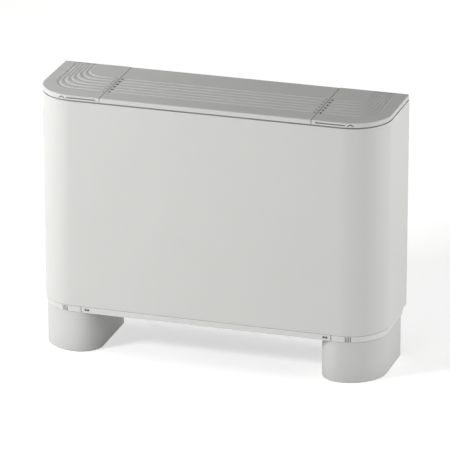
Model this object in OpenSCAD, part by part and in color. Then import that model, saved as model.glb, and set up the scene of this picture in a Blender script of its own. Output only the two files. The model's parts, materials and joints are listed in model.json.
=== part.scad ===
// Floor-standing fan coil unit: painted cabinet on two open-backed feet, stepped plastic head
// with a centre air deflector flap and two end lids, slide-out filter, twin blower and tilted coil.
// All sizes are in millimetres. X runs along the width, the front faces -Y, Z is up from the floor.

/* [Cabinet] */
// overall width
body_w = 750; // [700:10:1000]
// depth from the front face to the wall
body_d = 218; // [212:1:260]
// height of the body without its feet
body_h = 480; // [478:1:600]
// plan radius of the two front corners
corner_r = 85; // [70:1:95]
// thickness of the painted sheet
sheet_t = 1.2; // [0.8:0.1:1.6]
// width of the folds along the top and bottom edges
fold_w = 12; // [10:0.5:14]
// width of the folds along the two rear edges
rear_fold_w = 18; // [10:1:30]

/* [Head] */
// width of the deflector flap
flap_w = 453; // [420:1:480]
// open seam between the flap and each lid
seam_w = 1.2; // [0.8:0.1:2]
// distance of the head's rear edge from the wall
head_setback = 4; // [3.5:0.5:8]
// height of the lip round the head
lip_h = 10; // [9:0.5:12]
// thickness of the lip
lip_t = 3; // [2.4:0.1:4]
// shadow gap between the lip and the cabinet
shadow_h = 3; // [2.9:0.1:5]
// wall of the flap and the lids over their flat parts
top_wall = 4.8; // [4.4:0.1:6]
// rounding of the top edge
edge_r = 2.2; // [1:0.1:2.2]
// length of the finger slot in each lid's lip
finger_slot_w = 63; // [40:1:64]
// height of the finger slot
finger_slot_h = 2.6; // [1.5:0.1:3]
// depth of the finger slot
finger_slot_d = 2.2; // [1:0.1:2.3]
// distance of the finger slot from the lid's inner edge
finger_slot_x = 8; // [6:0.5:12]
// height of the finger slot's middle above the lip's lower edge
finger_slot_z = 4.4; // [3:0.1:5]

/* [Grooves] */
// number of nested grooves
groove_n = 6; // [4:1:6]
// width of a groove
groove_w = 9; // [6:0.1:10]
// depth of a groove
groove_h = 1.4; // [1:0.1:1.8]
// distance of the first groove from the front face
groove_front = 46.5; // [44:0.5:54]
// groove pitch behind the front edge
groove_pitch_y = 17.2; // [13:0.1:17.5]
// distance of the first groove from the side face
groove_side = 30; // [28:0.5:34]
// groove pitch beside the side edge
groove_pitch_x = 7.6; // [7:0.1:8.4]
// plan radius of the outermost groove's corner
groove_r = 48; // [40:1:50]
// loss of corner radius from one groove to the next
groove_r_step = 1.8; // [0:0.1:3]
// depth of the pit where a groove meets a seam
pit_h = 3.2; // [2:0.1:3.4]
// length of a pit
pit_len = 7; // [5:0.5:12]
// width of a pit
pit_w = 8; // [4:0.1:8.5]
// depth at which a pit runs out into its groove
pit_out = 0.8; // [0.5:0.1:1]
// plain rim left at the seams
rim_w = 3.5; // [2:0.1:5]
// plain rim left at the lids' rear edge
rear_rim = 2.5; // [2:0.5:6]

/* [Hinges] */
// radius of the flap's pivot pins
pivot_r = 2.5; // [2:0.1:2.6]
// distance of the flap axis from the rear edge of the head
pivot_back = 8; // [7:0.1:8.5]
// depth of the flap axis below the top face
pivot_drop = 9; // [8.6:0.1:9.4]
// wall of a flap ear round its pin
flap_ear_wall = 2; // [1.6:0.1:2.2]
// radius of the lid hinge pins
pin_r = 1.5; // [1.2:0.1:1.6]
// distance of the lid axis from the rear edge of the head
hinge_back = 5; // [4.8:0.1:5.4]
// depth of the lid axis below the top face
hinge_drop = 6; // [5.8:0.1:6.2]
// wall of the hinge knuckles round the pin
knuckle_wall = 1.6; // [1.2:0.1:1.7]
// length of a lid knuckle
knuckle_w = 12; // [8:0.5:16]
// length of a frame ear
ear_w = 6; // [4:0.5:8]
// distance of the inner hinge from the lid's inner edge
hinge_in = 46; // [40:1:50]
// distance of the outer hinge from the side face
hinge_out = 46; // [40:1:55]

/* [Head frame] */
// thickness of the frame plate
frame_t = 2.4; // [2:0.1:2.6]
// distance of the frame plate from the outer face
frame_inset = 3.6; // [3.2:0.1:5]
// distance of the stop wall from the outer face
stop_inset = 15; // [14:0.5:18]
// thickness of the stop wall, the pivot walls and the duct
wall_t = 3; // [2.4:0.1:3.4]
// gap from the lids' inner edge to the pivot walls
pivot_gap = 1.4; // [1:0.1:2]
// depth of the air duct below the frame
duct_h = 14; // [12:0.5:15]
// gap between the duct and the plates below it
duct_gap = 2; // [1:0.5:4]
// length of the flap ears
flap_ear_w = 6; // [4:0.5:8]
// distance of the flap's two ribs from the outlet's edges
flap_rib_in = 30; // [24:1:40]
// height of the flap's ribs
flap_rib_h = 4; // [3:0.5:5]
// thickness of the flap's ribs
flap_rib_t = 2; // [1.5:0.1:3]
// distance of the outlet from the flap's ends
outlet_margin = 13; // [12:0.5:20]
// distance of the outlet from the front face
outlet_front = 23; // [21:0.5:30]
// distance of the outlet from the wall
outlet_rear = 28; // [26:0.5:40]

/* [Outlet grille] */
// number of slats
slat_n = 9; // [6:1:12]
// thickness of a slat
slat_t = 1.8; // [1.2:0.1:3]
// height of a slat
slat_h = 9; // [6:0.5:10]
// number of cross ribs
rib_n = 6; // [3:1:10]
// width of the grille's border
grille_rim = 5; // [3:0.5:8]

/* [Filter tray] */
// height of the strip below the cabinet
strip_h = 15; // [14.5:0.5:20]
// distance of the tray's front strip from the side face
strip_side = 103.5; // [98:0.5:112]
// thickness of the front strip
strip_t = 7; // [5:0.5:9]
// inward taper of the strip from top to bottom
strip_taper = 3.5; // [1:0.1:4]
// setback of the strip's top edge behind the cabinet's face
strip_back = 0.3; // [0.2:0.1:0.6]
// depth of the filter frame
filter_d = 176; // [150:1:180]
// width of the filter frame's bars
filter_bar = 10; // [7:0.5:14]
// height of the filter frame
filter_h = 11; // [8:0.5:11.3]
// thickness of the filter mat
mat_t = 3; // [2:0.5:6]
// number of stays across the filter frame
stay_n = 4; // [2:1:8]
// width of a stay
stay_w = 4; // [2:0.5:6]
// height of the mat above the frame's lower edge
mat_rise = 3; // [2:0.5:4]
// width of a rail flange under the tray
rail_w = 8; // [6:0.5:12]
// width of the rail flange beside the tray
rail_out = 27; // [24:1:30]
// sheet of the rails
rail_t = 1.5; // [1:0.1:2]

/* [Trims] */
// wall of the corner trims
trim_t = 2.5; // [2:0.1:3]
// gap between the trims and the cabinet
trim_gap = 0.5; // [0.3:0.1:0.6]
// number of vertical slits in each trim
slit_n = 4; // [2:1:6]
// width of a slit
slit_w = 1.4; // [0.6:0.1:1.6]
// plain rim above and below a slit
slit_rim = 1.2; // [0.8:0.1:3]
// angle between two slits
slit_step = 2.4; // [1.5:0.1:3]
// angle of the first slit round the corner
slit_start = 9; // [4:0.5:14]

/* [Feet] */
// height of the feet
foot_h = 90; // [70:5:150]
// width of a foot
foot_w = 130; // [126:1:138]
// distance of a foot from the side face
foot_inset = 4; // [3:0.5:8]
// distance from the front face to a foot's rear edge
foot_d = 190; // [180:1:196]
// wall of a foot
foot_wall = 3; // [2.4:0.1:4]
// distance of a foot's front screw from the front face
screw_front = 45.5; // [40:0.5:60]
// distance of a foot's rear screw from its rear edge
screw_rear = 34; // [30:1:50]
// width of the pipe passage in a foot
passage_w = 56; // [40:1:60]
// depth of the pipe passage in a foot
passage_d = 90; // [60:1:100]

/* [Chassis] */
// galvanised sheet
plate_t = 1.5; // [1:0.1:2]
// gap from the pivot walls to the chassis sides
bay_gap = 5; // [4:0.5:8]
// width of the wall-fixing ears
wall_ear_w = 30; // [26:1:40]
// radius of the wall-fixing holes
wall_hole_r = 4.5; // [3:0.25:6]
// height between the wall-fixing holes
wall_hole_dz = 320; // [200:5:360]
// height of the lower wall-fixing holes above the cabinet's lower edge
wall_hole_z = 60; // [40:1:90]
// distance of the inner front plate from the front face
baffle_gap = 10; // [8:0.5:12]

/* [Fan] */
// height of the fan axis above the feet
fan_h = 116; // [115:1:130]
// outer radius of an impeller
wheel_r = 62; // [56:1:64]
// radial depth of the blades
blade_d = 11; // [8:0.5:14]
// number of blades
blade_n = 30; // [20:1:40]
// thickness of a blade
blade_t = 1.2; // [0.8:0.1:2]
// angle by which a blade's tip leads its root
blade_lead = 9; // [4:0.5:12]
// thickness of the wheel's disc and end rings
disc_t = 3; // [2:0.1:4]
// radius of the shaft
shaft_r = 6; // [5:0.1:8]
// radius of the wheel's hub
hub_r = 14; // [11:0.5:18]
// length of the wheel's hub
hub_w = 28; // [20:1:36]
// scroll radius at the tongue
scroll_r0 = 69; // [68:0.5:72]
// scroll radius at the outlet
scroll_r1 = 103; // [96:0.5:104]
// sheet of the scroll
scroll_t = 1.2; // [0.8:0.1:2]
// width of a blower housing
scroll_w = 130; // [110:1:140]
// radius of the housing's inlets
inlet_r = 51; // [46:0.5:54]
// height of the fan deck above the fan axis
deck_rise = 94; // [90:1:100]

/* [Motor] */
// radius of the motor
motor_r = 44; // [36:1:50]
// length of the motor between its end faces
motor_w = 70; // [56:1:80]
// radius of the bearing bosses
boss_r = 18; // [16:0.5:22]
// length of the bearing bosses
boss_w = 9; // [7:0.5:11]
// radius of the cooling holes in the motor's end faces
motor_hole_r = 5; // [3:0.5:6]
// depth of the cooling holes
motor_hole_d = 4; // [2:0.5:6]
// outer radius of the bearings
bearing_r = 13; // [11:0.5:14]
// clear distance between the motor and a housing
motor_gap = 26; // [24:1:34]
// width of the motor strap
strap_w = 26; // [16:1:40]
// thickness of the motor strap
strap_t = 3; // [2:0.5:5]

/* [Coil] */
// length of the fin pack
coil_w = 408; // [380:1:412]
// height of the fin pack along its slope
coil_h = 224; // [210:1:226]
// thickness of the fin pack
coil_d = 44; // [40:1:46]
// lean of the coil from the vertical
coil_lean = 40; // [36:1:42]
// height of the coil's centre above the deck
coil_rise = 134; // [132:1:140]
// number of fins
fin_n = 40; // [20:1:60]
// thickness of a fin
fin_t = 0.8; // [0.4:0.1:1]
// tubes in each of the two rows
tube_n = 8; // [4:2:8]
// outer radius of a tube
tube_r = 4.8; // [4:0.1:5]
// wall of a tube
tube_wall = 0.7; // [0.4:0.1:1]
// pitch of the tubes along the coil
tube_pitch = 25; // [22:0.5:26]
// pitch of the two rows
row_pitch = 22; // [20:0.5:24]
// margin of the end plates round the fins
end_margin = 3; // [2:0.5:4]
// distance of the end plates' flanges from the coil's ends
flange_end = 14; // [10:1:20]

/* [Water connections] */
// radius of the header pipes
header_r = 9; // [8:0.5:10]
// thread radius of the two water connections
water_r = 9.3; // [8:0.1:10]
// depth of the two water connections
water_len = 15; // [12:0.5:18]
// reach of the connections outside the chassis
water_reach = 44; // [36:1:60]
// corner radius of the connections' nuts
water_nut_r = 15; // [13:0.5:16]
// wall of the cups that take the tube ends
cup_wall = 1.4; // [1:0.1:1.6]
// radius of the air vent valve
vent_r = 4.5; // [3.5:0.5:6]
// distance of the air vent valve outside the chassis
vent_out = 12; // [10:1:16]
// outer radius of the drain spigot
drain_r = 8; // [6:0.5:9]
// bore radius of the drain spigot
drain_bore = 6; // [4:0.5:6.5]
// reach of the drain spigot outside the chassis
drain_reach = 30; // [20:1:40]
// width of the drain pan
pan_d = 80; // [70:1:90]
// height of the drain pan
pan_h = 27; // [22:1:28]
// wall of the drain pan
pan_t = 2; // [1.5:0.1:3]

/* [Controls] */
// depth of the control recess below the frame
recess_h = 12; // [10:0.5:16]
// wall of the control recess
recess_t = 2; // [1.6:0.1:2.4]
// radius of a knob
knob_r = 15; // [12:0.5:18]
// height of a knob
knob_h = 10; // [8:0.5:11]
// radius of a knob's stem
stem_r = 3; // [2:0.1:4]
// distance between the two knobs
knob_pitch = 56; // [44:1:64]
// shift of both knobs towards the front
knob_shift = 8; // [4:1:12]
// height of a knob's skirt
skirt_h = 4; // [3:0.5:5]
// width of a knob's grip bar
grip_w = 6.6; // [5:0.1:8]
// width of the electrical box
box_w = 76; // [60:1:90]
// depth of the electrical box
box_d = 120; // [90:1:130]
// height of the electrical box
box_h = 130; // [100:1:150]
// height of the electrical box above the fan deck
box_rise = 30; // [26:1:40]
// wall of the electrical box
box_t = 2; // [1.2:0.1:3]
// radius of the run capacitor
can_r = 17; // [12:0.5:20]
// length of the run capacitor
can_len = 66; // [50:1:80]
// length of the capacitor's terminal cap
can_cap = 5; // [3:0.5:8]
// distance of the capacitor's axis from the box's top
can_drop = 34; // [24:1:40]
// height of the terminal block above the box's floor
terminal_z = 40; // [32:1:46]
// height of the terminal block
terminal_h = 18; // [14:1:22]
// depth of the terminal block
terminal_d = 22; // [16:1:28]
// distance of the terminal block's ends from the box's ends
terminal_inset = 16; // [10:1:24]
// number of terminals
terminal_n = 6; // [3:1:9]
// radius of a terminal's hole
terminal_r = 3.5; // [2:0.5:4]
// radius of a gland's nut
gland_r = 11; // [9:0.5:13]
// height of a gland's nut
gland_h = 14; // [10:1:18]
// radius of a gland's neck
gland_neck = 8; // [6:0.5:8.5]
// length of a gland's neck above the box's floor
gland_len = 6; // [4:0.5:9]
// radius of a gland's bore
gland_bore = 4.5; // [3:0.5:5.5]
// radius of the cable hole from the fans
cable_r = 9; // [6:0.5:10]
// height of the cable hole above the box's floor
cable_rise = 20; // [14:1:24]

/* [Fasteners] */
// shank radius of the sheet screws
screw_r = 2; // [1.5:0.1:2.2]
// head radius of the sheet screws
screw_head_r = 3.6; // [3:0.1:3.8]
// head height of the sheet screws
screw_head_h = 1.6; // [1:0.1:2]
// distance of the head screws from the outer face
head_screw_in = 9.3; // [8.8:0.1:10]
// distance of the front head screws from the corner's start
head_screw_x = 20; // [10:1:40]
// distance of the side head screws behind the corner
head_screw_y = 30; // [20:1:40]

/* [Fits] */
// radial clearance of turning parts
run_fit = 0.05; // [0.03:0.01:0.1]
// radial play of pins that stay put in their holes
press_fit = 0.02; // [0.01:0.01:0.04]
// gap between stacked parts
seat = 0.1; // [0.05:0.05:0.2]
// gap beside sliding parts
slide_fit = 0.4; // [0.3:0.1:0.6]
// radial clearance of holes round fixed parts
hole_fit = 0.3; // [0.2:0.05:0.5]

/* [Hidden] */
$fn = 64;
half_w = body_w / 2;
front_y = -body_d / 2;
rear_y = body_d / 2;
head_y = rear_y - head_setback;
base_z = foot_h;
panel_z0 = base_z + strip_h;
top_z = foot_h + body_h;
lip_z = top_z - lip_h;
panel_z1 = lip_z - shadow_h;
skin_z = top_z - top_wall;
stop_z = skin_z - slide_fit;
frame_z0 = panel_z1;
frame_z1 = frame_z0 + frame_t;
plate_z1 = frame_z0 - duct_h - duct_gap;
corner_x = half_w - corner_r;
corner_y = front_y + corner_r;
lid_x = flap_w / 2 + seam_w;
pivot_x = lid_x + pivot_gap;
bay_x = pivot_x + wall_t + bay_gap;
side_x = bay_x + plate_t;
pivot_y = head_y - pivot_back;
flap_ear_x = flap_w / 2 - 1 - flap_ear_w;
flap_ear_r = pivot_r + flap_ear_wall;
pivot_z = top_z - pivot_drop;
eye_r = stop_z - pivot_z;
hinge_y = head_y - hinge_back;
hinge_z = top_z - hinge_drop;
knuckle_r = pin_r + knuckle_wall;
frame_rear = hinge_y;
stop_rear = pivot_y - 12;
outlet_x = flap_w / 2 - outlet_margin;
outlet_y0 = front_y + outlet_front;
outlet_y1 = rear_y - outlet_rear;
opening_x0 = side_x + 10;
opening_inset = stop_inset + wall_t + 1;
opening_y1 = outlet_y1;
hinge_stations = [lid_x + hinge_in, half_w - hinge_out];
groove_arc = (groove_w * groove_w / 4 + groove_h * groove_h) / (2 * groove_h);
floor_z = panel_z0 + sheet_t + seat;
back_y = rear_y - plate_t;
baffle_y = front_y + baffle_gap;
inner_y = baffle_y + plate_t;
fan_z = base_z + fan_h;
fan_y = back_y - scroll_r1 - scroll_t - 1;
deck_z = fan_z + deck_rise;
scroll_a0 = 60;
tongue_a = scroll_a0 + 3;
tongue_y = (scroll_radius(tongue_a) + scroll_t) * cos(tongue_a);
scroll_x = motor_w / 2 + motor_gap;
wheel_x = scroll_x + scroll_w / 2;
wheel_w = scroll_w - 2 * (scroll_t + 3);
shaft_half = wheel_x + hub_w / 2 + 6;
pan_z = deck_z + plate_t;
coil_y = (inner_y + back_y) / 2;
coil_z = deck_z + coil_rise;
end_x = coil_w / 2 + 1.5;
bend_x = end_x + plate_t + 4;
header_x = bend_x + header_r + 1;
pan_mid_y = inner_y + seat + pan_d / 2;
drain_z = pan_z + drain_r + 1;
foot_r = foot_w + foot_inset - corner_r;
foot_front = front_y + foot_inset;
foot_rear = front_y + foot_d;
tray_x = half_w - strip_side;
rail_x = tray_x + 1;
tray_y0 = front_y + strip_t + 1;
tray_y1 = tray_y0 + filter_d;
tray_z0 = base_z + rail_t + slide_fit;
strip_z = base_z + slide_fit;
rail_y0 = front_y + fold_w + 1;
screw_x = rail_x + rail_t + 12;
screw_ys = [front_y + screw_front, foot_rear - screw_rear];
trim_x = tray_x + 1.4;
trim_top = panel_z0 - trim_gap;
passage_x = half_w - foot_inset - foot_wall - passage_w;
passage_y = foot_rear - passage_d;
recess_z = frame_z0 - recess_h;
knob_x = (opening_x0 + half_w - opening_inset) / 2;
knob_ys = [-knob_pitch / 2 - knob_shift, knob_pitch / 2 - knob_shift];
box_z = deck_z + box_rise;
head_screws_at = [
    [corner_x - head_screw_x, front_y + head_screw_in],
    [half_w - head_screw_in, corner_y + head_screw_y]
];

painted = [0.83, 0.83, 0.81];
moulded = [0.80, 0.80, 0.79];
galvanised = [0.68, 0.70, 0.72];
copper = [0.72, 0.45, 0.30];
brass = [0.75, 0.62, 0.32];
aluminium = [0.78, 0.80, 0.82];
black = [0.12, 0.12, 0.13];
grey = [0.45, 0.46, 0.48];
steel = [0.60, 0.61, 0.63];
mat = [0.25, 0.27, 0.30];

function scroll_radius(a) = scroll_r0 + (scroll_r1 - scroll_r0) * (a - scroll_a0) / (360 - scroll_a0);
function scroll_point(a, grow) = (scroll_radius(a) + grow) * [cos(a), sin(a)];
function coil_point(u, v) = [
    coil_y + u * sin(coil_lean) + v * cos(coil_lean),
    coil_z + u * cos(coil_lean) - v * sin(coil_lean)
];
function tube_u(i) = (i - (tube_n - 1) / 2) * tube_pitch;
function tube_point(row, i) = coil_point(tube_u(i), (row - 0.5) * row_pitch);

// Extrude a drawing in the Y-Z plane along X
module along_x(x0, x1) {
    translate([x0, 0, 0]) rotate([90, 0, 90]) linear_extrude(x1 - x0) children();
}

// Extrude a drawing in the X-Z plane along Y
module along_y(y0, y1) {
    translate([0, y1, 0]) rotate([90, 0, 0]) linear_extrude(y1 - y0) children();
}

// Extrude a plan upwards between two heights
module lift(z0, z1) {
    translate([0, 0, z0]) linear_extrude(z1 - z0) children();
}

module box(a, b) {
    translate(a) cube(b - a);
}

module rect(a, b) {
    translate(a) square(b - a);
}

module rod_x(x0, x1, y, z, r) {
    translate([x0, y, z]) rotate([0, 90, 0]) cylinder(h = x1 - x0, r = r);
}

module on_side(side) {
    mirror([side < 0 ? 1 : 0, 0, 0]) children();
}

// Plan of the unit, drawn in from its front and sides
module plan(inset, rear) {
    r = corner_r - inset;
    rect([-corner_x, front_y + inset], [corner_x, rear]);
    rect([-half_w + inset, corner_y], [half_w - inset, rear]);
    for (s = [-1, 1]) translate([s * corner_x, corner_y]) circle(r);
}

// Band of the plan between two insets, open at the rear
module band(outer, inner, rear) {
    difference() {
        plan(outer, rear);
        plan(inner, rear + 1);
    }
}

// Cabinet: one sheet bent round both front corners, with folded edges
module front_panel() {
    color(painted) difference() {
        union() {
            lift(panel_z0, panel_z1) band(0, sheet_t, rear_y);
            lift(panel_z0, panel_z0 + sheet_t) band(0, fold_w, rear_y - sheet_t);
            lift(panel_z1 - sheet_t, panel_z1) band(0, fold_w, rear_y - sheet_t);
            for (s = [-1, 1]) on_side(s)
                box([half_w - rear_fold_w, rear_y - sheet_t, panel_z0], [half_w, rear_y, panel_z1]);
        }
        head_screw_holes(screw_r + hole_fit);
    }
}

module head_screw_holes(r) {
    for (s = [-1, 1]) on_side(s)
        for (p = head_screws_at) translate([p[0], p[1], panel_z1 - 6]) cylinder(h = 12, r = r);
}

// Screws that hold the head frame on the cabinet
module head_screws() {
    color(steel) for (s = [-1, 1]) on_side(s)
        for (p = head_screws_at) translate([p[0], p[1], frame_z1]) {
            cylinder(h = screw_head_h, r = screw_head_r);
            translate([0, 0, -5]) cylinder(h = 5 + screw_head_h / 2, r = screw_r);
        }
}

// Head: cap with a lip and a rounded top edge, before it is split into flap and lids
module head_cap() {
    difference() {
        union() {
            lift(lip_z, top_z - edge_r) plan(0, head_y);
            lift(lip_z, top_z) plan(edge_r, head_y);
            translate([0, 0, top_z - edge_r]) {
                translate([0, front_y + edge_r, 0])
                    rod_x(-corner_x, corner_x, 0, 0, edge_r);
                for (s = [-1, 1]) {
                    translate([s * (half_w - edge_r), corner_y, 0]) rotate([-90, 0, 0])
                        cylinder(h = head_y - corner_y, r = edge_r);
                    translate([s * corner_x, corner_y, 0]) rotate([0, 0, s > 0 ? -90 : 180])
                        rotate_extrude(angle = 90) translate([corner_r - edge_r, 0]) circle(edge_r, $fn = 32);
                }
            }
        }
        lift(lip_z - 1, skin_z) plan(lip_t, head_y + 1);
    }
}

function groove_y(i) = front_y + groove_front + i * groove_pitch_y;
function groove_x(i) = half_w - groove_side - i * groove_pitch_x;
function groove_corner(i) = groove_r - i * groove_r_step;

// Section of a groove: a round flute
module groove_section() {
    translate([0, groove_arc - groove_h]) circle(groove_arc, $fn = 96);
}

// Pit at a seam: a wall beside the rim and a floor that rises to the groove
module groove_pit(x, y) {
    along_y(y - pit_w / 2, y + pit_w / 2) translate([x, top_z])
        polygon([[0, 1], [0, -pit_h], [pit_len, -pit_out], [pit_len, 1]]);
}

// One groove of a lid: along the front, round the corner and back to the rear rim
module lid_groove(i) {
    r = groove_corner(i);
    x = groove_x(i);
    y = groove_y(i);
    along_x(lid_x + rim_w, x - r) translate([y, top_z]) groove_section();
    translate([x - r, y + r, top_z]) rotate([0, 0, -90]) rotate_extrude(angle = 90)
        translate([r, 0]) groove_section();
    along_y(y + r, head_y - rear_rim) translate([x, top_z]) groove_section();
    groove_pit(lid_x + rim_w, y);
}

// End lid: corner of the head with nested grooves, a finger slot and rear hinge knuckles
module lid() {
    color(moulded) difference() {
        union() {
            intersection() {
                head_cap();
                box([lid_x, front_y - 1, lip_z - 1], [half_w + 1, head_y + 1, top_z + 1]);
            }
            for (x = hinge_stations) {
                rod_x(x - knuckle_w, x, hinge_y, hinge_z, knuckle_r);
                box([x - knuckle_w, hinge_y - knuckle_r, hinge_z], [x, hinge_y + knuckle_r, skin_z + 1]);
            }
        }
        for (i = [0 : groove_n - 1]) lid_groove(i);
        box([lid_x + finger_slot_x, front_y - 1, lip_z + finger_slot_z - finger_slot_h / 2],
            [lid_x + finger_slot_x + finger_slot_w, front_y + finger_slot_d,
             lip_z + finger_slot_z + finger_slot_h / 2]);
        for (x = hinge_stations) {
            rod_x(x - knuckle_w - 1, x + 1, hinge_y, hinge_z, pin_r + run_fit);
            rod_x(x, x + ear_w + 2 * slide_fit, hinge_y, hinge_z, knuckle_r + slide_fit);
        }
    }
}

module lid_left() {
    on_side(-1) lid();
}

module lid_right() {
    lid();
}

// Hinge pins of both lids, held in the frame ears
module lid_hinge_pins() {
    color(steel) for (s = [-1, 1]) on_side(s) for (x = hinge_stations)
        rod_x(x - knuckle_w + 0.5, x + slide_fit + ear_w - 0.5, hinge_y, hinge_z, pin_r);
}

// Section of the flap: plate, front lip and two rounded edges
module flap_section() {
    rect([front_y, skin_z], [head_y, top_z - edge_r]);
    rect([front_y + edge_r, skin_z], [head_y - edge_r, top_z]);
    rect([front_y, lip_z], [front_y + lip_t, top_z - edge_r]);
    for (y = [front_y + edge_r, head_y - edge_r]) translate([y, top_z - edge_r]) circle(edge_r, $fn = 32);
}

// Air deflector flap, hinged near its rear edge on two pivot pins
module deflector_flap() {
    x1 = flap_w / 2;
    color(moulded) {
        difference() {
            along_x(-x1, x1) flap_section();
            along_x(-x1 + rim_w, x1 - rim_w) for (i = [0 : groove_n - 1])
                translate([groove_y(i), top_z]) groove_section();
            for (s = [-1, 1]) on_side(s) for (i = [0 : groove_n - 1])
                groove_pit(rim_w - x1, groove_y(i));
        }
        for (s = [-1, 1]) on_side(s) difference() {
            union() {
                rod_x(flap_ear_x, x1 - 1, pivot_y, pivot_z, flap_ear_r);
                box([flap_ear_x, pivot_y - flap_ear_r, pivot_z],
                    [x1 - 1, pivot_y + flap_ear_r, skin_z + 1]);
            }
            rod_x(flap_ear_x - 1, x1, pivot_y, pivot_z, pivot_r + press_fit);
        }
        for (y = [outlet_y0 + flap_rib_in, outlet_y1 - flap_rib_in])
            box([-outlet_x + 4, y, skin_z - flap_rib_h], [outlet_x - 4, y + flap_rib_t, skin_z + 1]);
    }
}

// Pivot pins of the flap, pressed into its ears and turning in the pivot walls
module flap_pivots() {
    color(steel) for (s = [-1, 1]) on_side(s)
        rod_x(flap_ear_x + 0.5, pivot_x + wall_t - 0.5, pivot_y, pivot_z, pivot_r);
}

// Plan of the opening under a lid
module lid_opening() {
    intersection() {
        plan(opening_inset, opening_y1);
        rect([opening_x0, front_y], [half_w, opening_y1]);
    }
}

// Frame under the head: air duct, stop wall, pivot walls and lid hinge ears
module head_frame() {
    color(moulded) difference() {
        union() {
            lift(frame_z0, frame_z1) plan(frame_inset, frame_rear);
            lift(frame_z1 - 0.5, stop_z) band(stop_inset, stop_inset + wall_t, stop_rear);
            lift(frame_z0 - duct_h, frame_z1)
                rect([-outlet_x - wall_t, outlet_y0 - wall_t], [outlet_x + wall_t, outlet_y1 + wall_t]);
            for (s = [-1, 1]) on_side(s) {
                box([pivot_x, front_y + stop_inset + 1, frame_z0], [pivot_x + wall_t, pivot_y, stop_z]);
                rod_x(pivot_x, pivot_x + wall_t, pivot_y, pivot_z, eye_r);
                box([pivot_x, pivot_y - eye_r, frame_z0], [pivot_x + wall_t, pivot_y + eye_r, pivot_z]);
                for (x = hinge_stations) {
                    rod_x(x + slide_fit, x + slide_fit + ear_w, hinge_y, hinge_z, knuckle_r);
                    box([x + slide_fit, hinge_y - knuckle_r, frame_z0],
                        [x + slide_fit + ear_w, hinge_y, hinge_z]);
                }
            }
        }
        box([-outlet_x, outlet_y0, frame_z0 - duct_h - 1], [outlet_x, outlet_y1, stop_z + 1]);
        for (s = [-1, 1]) on_side(s) {
            lift(frame_z0 - 1, stop_z + 1) lid_opening();
            box([flap_w / 2 - flap_ear_w - 2, pivot_y - pivot_r - 4, frame_z0 - 1],
                [pivot_x, frame_rear + 1, stop_z + 1]);
            rod_x(pivot_x - 1, pivot_x + wall_t + 1, pivot_y, pivot_z, pivot_r + run_fit);
            for (x = hinge_stations)
                rod_x(x - 1, x + ear_w + 2, hinge_y, hinge_z, pin_r + press_fit);
        }
        head_screw_holes(screw_r + hole_fit);
    }
}

// Fixed guard grille in the duct
module outlet_grille() {
    x1 = outlet_x - slide_fit;
    y0 = outlet_y0 + slide_fit;
    y1 = outlet_y1 - slide_fit;
    z1 = frame_z0 - 1;
    pitch = (y1 - y0 - 2 * grille_rim) / slat_n;
    color(moulded) {
        difference() {
            box([-x1, y0, z1 - slat_h], [x1, y1, z1]);
            box([-x1 + grille_rim, y0 + grille_rim, z1 - slat_h - 1],
                [x1 - grille_rim, y1 - grille_rim, z1 + 1]);
        }
        for (i = [1 : slat_n - 1]) translate([0, y0 + grille_rim + i * pitch - slat_t / 2, 0])
            box([-x1 + grille_rim / 2, 0, z1 - slat_h + 1], [x1 - grille_rim / 2, slat_t, z1 - 0.5]);
        for (i = [1 : rib_n]) translate([-x1 + i * 2 * x1 / (rib_n + 1) - 1, 0, 0])
            box([0, y0 + grille_rim / 2, z1 - slat_h + 2], [2, y1 - grille_rim / 2, z1 - 2]);
    }
}

// Control panel: a shallow recess under the right lid
module control_panel() {
    color(moulded) difference() {
        lift(recess_z - recess_t, frame_z0) intersection() {
            plan(opening_inset - recess_t, opening_y1 + recess_t);
            rect([opening_x0 - recess_t, front_y], [half_w, opening_y1 + recess_t]);
        }
        lift(recess_z, frame_z0 + 1) lid_opening();
        for (y = knob_ys) translate([knob_x, y, recess_z - recess_t - 1])
            cylinder(h = recess_t + 2, r = stem_r + run_fit);
    }
}

// Control knob with a grip bar and a stem through the panel
module knob() {
    color(grey) difference() {
        union() {
            translate([0, 0, 0.5]) cylinder(h = skirt_h, r = knob_r);
            translate([-grip_w / 2, -knob_r * 0.92, 0.5]) cube([grip_w, knob_r * 1.84, knob_h]);
            translate([0, 0, -6]) cylinder(h = 7, r = stem_r);
        }
        translate([-0.7, knob_r * 0.35, knob_h]) cube([1.4, knob_r, 2]);
    }
}

module temperature_knob() {
    translate([knob_x, knob_ys[0], recess_z]) knob();
}

module speed_knob() {
    translate([knob_x, knob_ys[1], recess_z]) knob();
}

// Back plate with four wall-fixing holes and two pressed ribs
module chassis_back() {
    x1 = side_x + wall_ear_w;
    color(galvanised) difference() {
        union() {
            box([-x1, back_y, floor_z], [x1, rear_y, plate_z1]);
            for (s = [-1, 1]) on_side(s)
                box([side_x + wall_ear_w - plate_t, back_y - 8, floor_z + plate_t + seat],
                    [side_x + wall_ear_w, back_y + 0.5, plate_z1]);
        }
        for (s = [-1, 1]) for (dz = [0, wall_hole_dz])
            translate([s * (side_x + wall_ear_w / 2), back_y - 1, panel_z0 + wall_hole_z + dz])
                rotate([-90, 0, 0]) cylinder(h = plate_t + 2, r = wall_hole_r);
    }
}

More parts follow.
